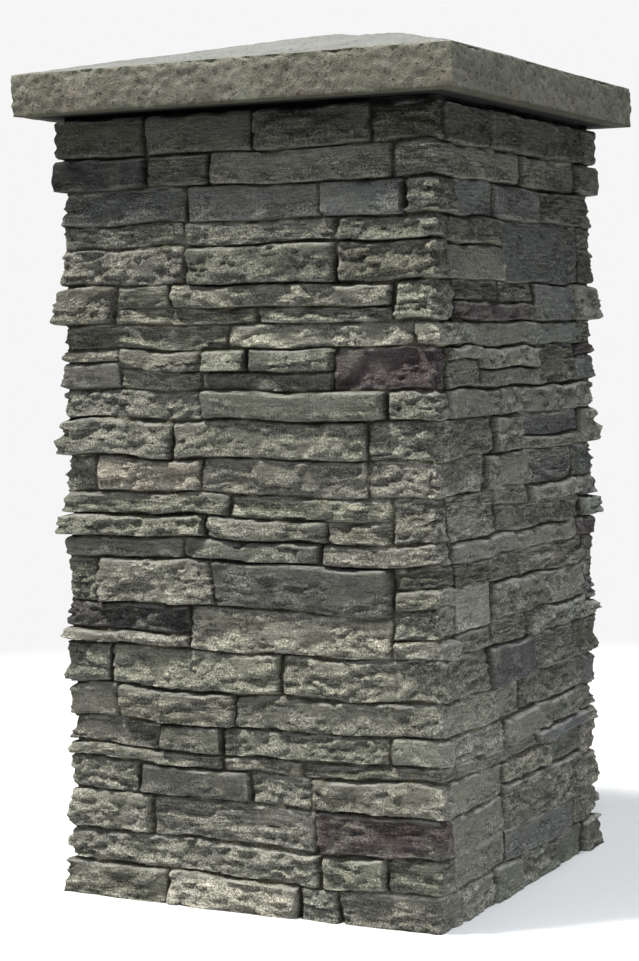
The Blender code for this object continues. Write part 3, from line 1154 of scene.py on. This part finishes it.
# %% How light the slate is
def slate_tone(tree, height, broken, mottle, bedding, grain, large):
    """The product of all that makes the paint lighter or darker."""
    proud = ramp(tree, read_field(tree, "ridge"), -0.7, 0.9, 0.80, 1.25)
    strength = ramp(tree, broken, 0.0, 1.0, SMOOTH_SPECKLE, 1.0)
    speckled = product(tree, grain["Speckle"], SPECKLE)
    speckled = calculate(tree, "MULTIPLY_ADD", speckled, strength, 1.0)
    chipped = ramp(tree, large["Height"], -0.3, 0.8, -0.28, 0.28)
    chipped = calculate(tree, "MULTIPLY_ADD", chipped, strength, 1.0)
    # Darker along the upright joints: dark wash with painted shade on it.
    upright = ramp(tree, read_field(tree, "upright"), 0.0, 1.0, 1.0, UPRIGHT_TONE)
    # Painted shade under the cap, over the top courses.
    cap_shaded = ramp(tree, height, *CAP_SHADE_BAND, 1.0, CAP_SHADE_TONE)
    # Near-black painted shadow in the gap just below the cap.
    shadow_gap_shaded = ramp(tree, height, *SHADOW_GAP_BAND, 1.0, SHADOW_GAP_TONE)
    return product(tree, mottle["Tone"], bedding["Tone"], proud, speckled, chipped, upright, cap_shaded, shadow_gap_shaded)


# %% The slate's colour
def slate_colour(tree, place, broken, mottle, tone):
    """The stone's own paint under its patches, tone with its painted shade, wash, tints with their
    painted highlight, and the painted highlight along the edges.
    """
    patch = product(tree, mottle["Patch"], UNDERCOAT_SHARE)
    colour = blend(tree, "MIX", patch, read_field(tree, "paint", "Color"), UNDERCOAT)
    violet = ramp(tree, cloud(tree, place, 17, 3, shift=(6, 2, 8)), 0.50, 0.66)
    violet = product(tree, violet, read_field(tree, "violet"))
    colour = blend(tree, "MIX", violet, colour, VIOLET_SPRAY)
    washed = ramp(tree, read_field(tree, "face"), 0.05, 0.85)
    wash = blend(tree, "MIX", washed, WASH_TINT, PLAIN)
    # Paler where broken: partly painted highlight on the upward-facing lower parts.
    tint = blend(tree, "MIX", broken, SMOOTH_TINT, BROKEN_AND_LIT_TINT)
    for factor in (tone, wash, tint):
        colour = blend(tree, "MULTIPLY", 1.0, colour, factor)
    # Painted highlight along the edges, mostly along the tops of the stones.
    arris = product(tree, read_field(tree, "edge_highlight"), EDGE_HIGHLIGHT_SHARE)
    return blend(tree, "MIX", arris, colour, EDGE_HIGHLIGHT_TINT)


# %% Moulded slate
def slate_material():
    """The sprayed and washed surface of the stones."""
    material, tree, shader, place = new_material("moulded slate", 0.28)
    own_place = combine(tree, "ADD", place, read_field(tree, "own"))
    mottle = use_group(tree, "mottle", own_place, "Amount", 0.16)
    bedding = use_group(tree, "bedding", own_place, "Strength", read_field(tree, "streak"))
    grain = use_group(tree, "grain", own_place, "Pits", 0.25)
    large = use_group(tree, "shards", own_place, "Size", LARGE_SHARDS)
    small = use_group(tree, "shards", own_place, "Size", SMALL_SHARDS)
    broken = read_field(tree, "broken")
    tone = slate_tone(tree, axes(tree, place)["Z"], broken, mottle, bedding, grain, large)
    colour = slate_colour(tree, own_place, broken, mottle, tone)
    connect(tree, shader.inputs["Base Color"], colour)
    rough = ramp(tree, mottle["Tone"], 0.7, 1.3, 0.94, 0.78)
    connect(tree, shader.inputs["Roughness"], rough)
    chips = calculate(tree, "MULTIPLY_ADD", small["Height"], 0.45, large["Height"])
    chips = product(tree, chips, ramp(tree, broken, 0.0, 1.0, 0.08, 0.60))
    height = calculate(tree, "MULTIPLY_ADD", bedding["Height"], 1.5, grain["Height"])
    bump(tree, shader, calculate(tree, "ADD", height, chips), SLATE_BUMP, 1.0)
    return material


slate = slate_material()
print("groups in use:", [group.name for group in bpy.data.node_groups])


# %% Put the four panels up
def put_up(name, mesh, looks, fields, turn, seed):
    """One painted panel in its place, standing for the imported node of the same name."""
    own_mesh = mesh.copy()
    own_mesh.name = name
    own_mesh.transform(Matrix.Rotation(turn, 4, "Z"))
    paint(own_mesh, looks, fields, seed)
    own_mesh.materials.append(slate)
    own_mesh.shade_smooth()
    own_mesh.set_sharp_from_angle(angle=math.radians(70))
    panel = add_object(name + "_stones", own_mesh)
    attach(panel, "root")
    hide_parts(name)


put_up("front_panel", corner_mesh, looks_list(FRONT_LOOKS), corner_fields, 0.0, 61)
put_up("right_panel", side_mesh, looks_list(RIGHT_LOOKS), side_fields, math.pi / 2, 62)
put_up("back_panel", corner_mesh, drawn_looks(len(corner_stones), 7), corner_fields, math.pi, 63)
put_up("left_panel", side_mesh, drawn_looks(len(side_stones), 8), side_fields, -math.pi / 2, 64)

# %% [markdown]
# ## The cap
#
# The cap is one hewn slab with a low peak. Its upright edges are pitted where the
# chisel went, its arrises are bitten, and its top is smoother, because the weather
# gets at it. A cube is parted into a fine grid with subdivide_edges, one direction at
# a time, and numpy moves the points.

# %% The cap's block
CAP_LOW, CAP_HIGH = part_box("cap")
CAP_HALF = CAP_HIGH.x
CAP_EDGE = 0.060
CAP_RISE = CAP_HIGH.z - CAP_LOW.z - CAP_EDGE
CAP_PITCH = 0.0036


def cap_block():
    """A fine grid all over a flat block, open below."""
    bm = bmesh.new()
    bmesh.ops.create_cube(bm, size=1)
    size = Vector((2 * CAP_HALF, 2 * CAP_HALF, CAP_EDGE))
    bmesh.ops.scale(bm, verts=bm.verts, vec=size)
    under = [face for face in bm.faces if face.normal.z < -0.5]
    bmesh.ops.delete(bm, geom=under, context="FACES")
    for axis in (2, 0, 1):
        edges = [edge for edge in bm.edges if abs((edge.verts[0].co - edge.verts[1].co)[axis]) > CLOSE]
        cuts = round(size[axis] / CAP_PITCH) - 1
        bmesh.ops.subdivide_edges(bm, edges=edges, cuts=cuts, use_grid_fill=True)
    bmesh.ops.translate(bm, verts=bm.verts, vec=(0, 0, CAP_LOW.z + CAP_EDGE / 2))
    return bm


# %% Hew the cap
CAP_FULLNESS = 1.02
PEAK_ROOM = 0.002
FULL_HIP = (0.20, -0.20, 0.0065, 0.11)
DEEPEST_BITE = 0.010
ON_FACE = 1e-4


def chisel_marks(x, y, z, up, bite):
    """How deep the upright edges are cut back, deepest in the bites of the two arrises."""
    sweep = np.where(np.abs(x) > np.abs(y), y, x)
    chisel = swell(sweep / 0.07, z / 0.05, 3.0 + np.sign(x) + 2 * np.sign(y))
    fine = swell(x / 0.016, y / 0.016, z / 0.013)
    finest = swell(x / 0.008, y / 0.008, z / 0.008)
    near_top = ease((up - 0.82) / 0.18) ** 2
    near_bottom = ease((0.12 - up) / 0.12) ** 2
    marks = 0.0012 + 0.0022 * chisel + 0.0026 * fine + 0.0020 * finest
    marks += (0.0004 + 0.009 * bite) * near_top + (0.0006 + 0.005 * bite) * near_bottom
    return np.clip(marks, 0.0, DEEPEST_BITE)


def top_height(x, y, reach, bite):
    """How far the top rises over the block: the peak, a fuller hip, waves and worn rims."""
    peak = (CAP_RISE - PEAK_ROOM) * (1 - reach**CAP_FULLNESS)
    side, front, fuller, width = FULL_HIP
    hip = fuller * np.exp(-((x - side) ** 2 + (y - front) ** 2) / width**2)
    waves = 0.0016 * swell(x / 0.10, y / 0.10, 2.2) + 0.0012 * swell(x / 0.02, y / 0.02, 5.2)
    fade = ease((1 - reach) / 0.03)
    worn_rim = ease((reach - 0.985) / 0.015) * (0.0006 + 0.005 * bite)
    return peak + (hip + waves) * fade - worn_rim


def hew(points):
    """Move the block's points. Returns them with how deep each is bitten, of 1."""
    x, y, z = points.T
    reach = np.maximum(np.abs(x), np.abs(y)) / CAP_HALF
    up = (z - CAP_LOW.z) / CAP_EDGE
    bite = np.clip(swell(x / 0.05, y / 0.05, z / 0.05 + 4) + 0.05, 0, 1)
    marks = np.where(reach > 1 - ON_FACE, chisel_marks(x, y, z, up, bite), 0.0)
    share = (CAP_HALF - marks) / CAP_HALF
    moved_x = np.where(np.abs(np.abs(x) - CAP_HALF) < ON_FACE, x * share, x)
    moved_y = np.where(np.abs(np.abs(y) - CAP_HALF) < ON_FACE, y * share, y)
    rise = np.where(up > 1 - ON_FACE, top_height(x, y, reach, bite), 0.0)
    return np.column_stack([moved_x, moved_y, z + rise]), bite


def cap_piece():
    """The cap's finished mesh and object."""
    bm = cap_block()
    moved, bite = hew(np.array([vert.co[:] for vert in bm.verts]))
    for vert, place in zip(bm.verts, moved):
        vert.co = place
        if vert.is_boundary:
            vert.co.z = CAP_LOW.z
    bmesh.ops.edgeloop_fill(bm, edges=[edge for edge in bm.edges if edge.is_boundary])
    bmesh.ops.recalc_face_normals(bm, faces=bm.faces[:])
    mesh = as_mesh(bm, "cap")
    mesh.shade_smooth()
    mesh.set_sharp_from_angle(angle=math.radians(60))
    print("the cap has", len(mesh.polygons), "faces, bitten", round(float(bite.max()), 2), "deep, of 1")
    return add_object("cap_slab", mesh)


# %% [markdown]
# The cap's paint is a grey olive with pits and a few rosy flecks, and its top is more
# neutral. The height of a point tells the material where the top begins, and where
# the underside does: the underside is painted shade, near black, with painted bounce
# light in a lighter band along its rim.

# %% Hewn cap stone
CAP_DARK = (0.1225, 0.118, 0.0905)
CAP_PALE = (0.147, 0.145, 0.115)
ROSY = (0.205, 0.162, 0.133)
CAP_TOP = (0.120, 0.122, 0.113)
# The underside is painted shade, with painted bounce light in a lighter band along its rim.
UNDERSIDE_SHADE = (0.006, 0.006, 0.005)
UNDER_RIM_BOUNCE = (0.065, 0.063, 0.044)
TOP_BAND = (CAP_LOW.z + CAP_EDGE - 0.001, CAP_LOW.z + CAP_EDGE + 0.003)
BED_BAND = (CAP_LOW.z + 0.0010, CAP_LOW.z + 0.0035)
RIM_BAND = (CAP_HALF - 0.030, CAP_HALF - 0.020)
CAP_SPECKLE = 0.22
CAP_BUMP = 0.0035


def cap_material():
    """The painted surface of the cap."""
    material, tree, shader, place = new_material("cap stone", 0.25)
    mottle = use_group(tree, "mottle", place, "Amount", 0.13)
    grain = use_group(tree, "grain", place, "Pits", 0.9)
    x, y, z = axes(tree, place)
    colour = blend(tree, "MIX", mottle["Patch"], CAP_DARK, CAP_PALE)
    rosy = ramp(tree, cloud(tree, place, 30, 3, shift=(4, 4, 4)), 0.62, 0.70, 0.0, 0.35)
    colour = blend(tree, "MIX", rosy, colour, ROSY)
    colour = blend(tree, "MIX", ramp(tree, z, *TOP_BAND), colour, CAP_TOP)
    pits = ramp(tree, grain["Pit"], 0.0, 0.9, 1.0, 0.55)
    speckled = calculate(tree, "MULTIPLY_ADD", grain["Speckle"], CAP_SPECKLE, 1.0)
    colour = blend(tree, "MULTIPLY", 1.0, colour, product(tree, mottle["Tone"], pits, speckled))
    out = calculate(tree, "MAXIMUM", calculate(tree, "ABSOLUTE", x), calculate(tree, "ABSOLUTE", y))
    # Painted shade under the cap, lighter along the rim with painted bounce light.
    painted_underside = blend(tree, "MIX", ramp(tree, out, *RIM_BAND), UNDERSIDE_SHADE, UNDER_RIM_BOUNCE)
    colour = blend(tree, "MIX", ramp(tree, z, *BED_BAND), painted_underside, colour)
    connect(tree, shader.inputs["Base Color"], colour)
    connect(tree, shader.inputs["Roughness"], ramp(tree, mottle["Tone"], 0.7, 1.3, 0.95, 0.82))
    bump(tree, shader, grain["Height"], CAP_BUMP, 0.9)
    return material


cap = cap_piece()
cap.data.materials.append(cap_material())
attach(cap, "root")
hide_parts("cap")

# %% [markdown]
# ## Floor and light
#
# The column stands on a plain pale floor in a pale room. The key light comes from high
# on the left, steep enough to rake the faces, so each ledge shows as a bright line
# over its own shadow. A small lamp high on the right does the same for the right face.
# Two weak fills open up the foot of the right face and the upper front, and one behind
# keeps the far sides readable. The camera doesn't see the lamps themselves.

# %% Floor and room
FLOOR_HALF = 12
FLOOR_TONE = (0.50, 0.50, 0.50)
FLOOR_FULL = 1.0
FLOOR_END = 2.6
WALL_TONE = 0.92
ROOM_LIGHT = 0.22
ROOM_COLOUR = (0.88, 0.95, 1.0)


def add_floor():
    """A wide pale plane under the column, which fades into the room all round."""
    bm = bmesh.new()
    bmesh.ops.create_grid(bm, x_segments=1, y_segments=1, size=FLOOR_HALF)
    material, tree, shader, place = new_material("pale floor")
    connect(tree, shader.inputs["Base Color"], FLOOR_TONE)
    connect(tree, shader.inputs["Roughness"], 0.9)
    far = combine(tree, "DOT_PRODUCT", place, place)
    connect(tree, shader.inputs["Alpha"], ramp(tree, far, FLOOR_FULL**2, FLOOR_END**2, 1.0, 0.0))
    mesh = as_mesh(bm, "floor")
    mesh.materials.append(material)
    add_object("floor", mesh)


def add_room():
    """An even pale room: the camera sees its walls pale, whatever light they give."""
    world = bpy.data.worlds.new("pale room")
    world.use_nodes = True
    tree = world.node_tree
    background = tree.nodes["Background"].inputs
    seen = tree.nodes.new("ShaderNodeLightPath").outputs["Is Camera Ray"]
    connect(tree, background["Color"], blend(tree, "MIX", seen, ROOM_COLOUR, PLAIN))
    strength = calculate(tree, "MULTIPLY_ADD", seen, WALL_TONE - ROOM_LIGHT, ROOM_LIGHT)
    connect(tree, background["Strength"], strength)
    bpy.context.scene.world = world


add_floor()
add_room()

# %% Lamps
CENTRE = Vector((0, 0, 0.65))


def from_angles(azimuth, elevation, distance):
    """A place around the column: azimuth 0 is in front, and 90 is on its right."""
    azimuth, elevation = math.radians(azimuth), math.radians(elevation)
    level = distance * math.cos(elevation)
    out = Vector((level * math.sin(azimuth), -level * math.cos(azimuth), distance * math.sin(elevation)))
    return CENTRE + out


def add_lamp(name, place, aim, size, power, colour):
    """A square lamp at a place, turned to what it lights."""
    lamp = bpy.data.lights.new(name, "AREA")
    lamp.size = size
    lamp.energy = power
    lamp.color = colour
    obj = add_object(name, lamp)
    obj.location = place
    obj.rotation_euler = (Vector(aim) - Vector(place)).to_track_quat("-Z", "Y").to_euler()
    obj.visible_camera = False


# Each lamp: its place, what it is turned to, its size in metres, its watts and its colour.
LAMPS = {
    "key": (from_angles(-50, 66, 14.0), CENTRE, 1.8, 4600, (1.0, 0.98, 0.935)),
    "sky": (from_angles(66, 77, 5.0), CENTRE, 0.5, 235, (0.90, 0.95, 1.0)),
    "low fill": ((1.35, -0.6, 0.10), (0.3, -0.05, 0.05), 0.8, 18, (0.94, 0.97, 1.0)),
    "front fill": ((-0.8, -1.9, 1.75), (0, -0.3, 1.2), 1.0, 11.5, (0.96, 0.98, 1.0)),
    "back": (from_angles(170, 50, 8.0), CENTRE, 2.5, 290, (1.0, 1.0, 1.0)),
}
for lamp_name, settings in LAMPS.items():
    add_lamp(lamp_name, *settings)
print("lamps:", ", ".join(LAMPS))

# %% [markdown]
# ## Camera
#
# The camera stands off the corner, a little to the right of the front, at about four
# fifths of the height. Its place was found from the corners of the cap and the column
# in the photograph, whose sizes are known.

# %% Camera at the photograph's angle
CAMERA_PLACE = Vector((1.530, -3.015, 0.826))
CAMERA_TURN = math.radians(27.43)
CAMERA_PITCH = math.radians(3.81)
CAMERA_ROLL = math.radians(-0.76)
CAMERA_LENS = 82.6


def add_camera():
    """The photograph's view."""
    data = bpy.data.cameras.new("camera")
    data.lens = CAMERA_LENS
    data.sensor_width = 36.0
    right = Vector((math.cos(CAMERA_TURN), math.sin(CAMERA_TURN), 0))
    ahead = Vector((-right.y, right.x, 0))
    forward = ahead * math.cos(CAMERA_PITCH) - Vector((0, 0, math.sin(CAMERA_PITCH)))
    up = right.cross(forward)
    turned = Matrix((right, up, -forward)).transposed() @ Matrix.Rotation(CAMERA_ROLL, 3, "Z")
    camera = add_object("camera", data)
    camera.matrix_world = Matrix.Translation(CAMERA_PLACE) @ turned.to_4x4()
    bpy.context.scene.camera = camera


add_camera()
bpy.context.scene.view_settings.view_transform = "Standard"
